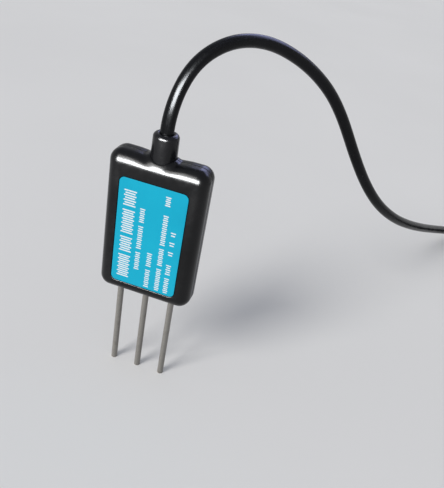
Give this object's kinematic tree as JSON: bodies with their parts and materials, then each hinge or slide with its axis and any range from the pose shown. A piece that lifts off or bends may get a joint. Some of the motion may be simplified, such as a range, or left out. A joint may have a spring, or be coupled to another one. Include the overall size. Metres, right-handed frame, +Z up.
{
  "type": "soil moisture sensor",
  "caption": "Flat potted soil moisture sensor with steel probes under a rounded black housing, a teal label, a short cable sleeve on top and a coiled cable with stripped leads.",
  "frame": {"origin": "on the soil line, where the middle probe's axis enters the ground", "axes": "+Z up along the probes to the cable outlet, +Y out of the housing's rear face, so the label faces -Y, +X to the right as the label is seen"},
  "size_m": [0.2961, 0.291, 0.1711],
  "materials": {
    "housing": "satin black ABS, glossy on the rounded edges",
    "sleeve": "matt black moulded sleeve",
    "label": "printed film, teal blue with white print",
    "steel": "drawn stainless rod",
    "cable_jacket": "smooth glossy black PVC",
    "tie": "black nylon",
    "tin": "tinned",
    "brass": "machined",
    "board": "green solder mask",
    "chip": "moulded black package",
    "carrier": "natural nylon",
    "epoxy": "cast black epoxy",
    "seal": "matt rubber",
    "wire_brown": "PVC wire insulation",
    "wire_black": "PVC wire insulation",
    "wire_yellow": "PVC wire insulation",
    "wire_blue": "PVC wire insulation"
  },
  "bodies": {
    "root": {"cable": "cable_jacket", "cable_coil": "cable_jacket", "cable_sleeve": "sleeve", "cable_tail": "cable_jacket", "circuit_board": "board", "coil_tie": "tie", "crimp_ring": "tin", "electrolytic_capacitor": "tin", "front_shell": "housing", "inductor": "chip", "inner_wire_black": "wire_black", "inner_wire_blue": "wire_blue", "inner_wire_brown": "wire_brown", "inner_wire_yellow": "wire_yellow", "label": "label", "lead_black": "wire_black", "lead_blue": "wire_blue", "lead_brown": "wire_brown", "lead_tip_black": "tin", "lead_tip_blue": "tin", "lead_tip_brown": "tin", "lead_tip_yellow": "tin", "lead_yellow": "wire_yellow", "mcu_chip": "chip", "potting_front": "epoxy", "potting_rear": "epoxy", "probe_carrier": "carrier", "probe_left": "steel", "probe_lug_left": "brass", "probe_lug_middle": "brass", "probe_lug_right": "brass", "probe_middle": "steel", "probe_right": "steel", "quartz_crystal": "tin", "rear_shell": "housing", "sleeve_seal": "seal", "transceiver_chip": "chip", "voltage_regulator": "chip"}
  },
  "joints": []
}
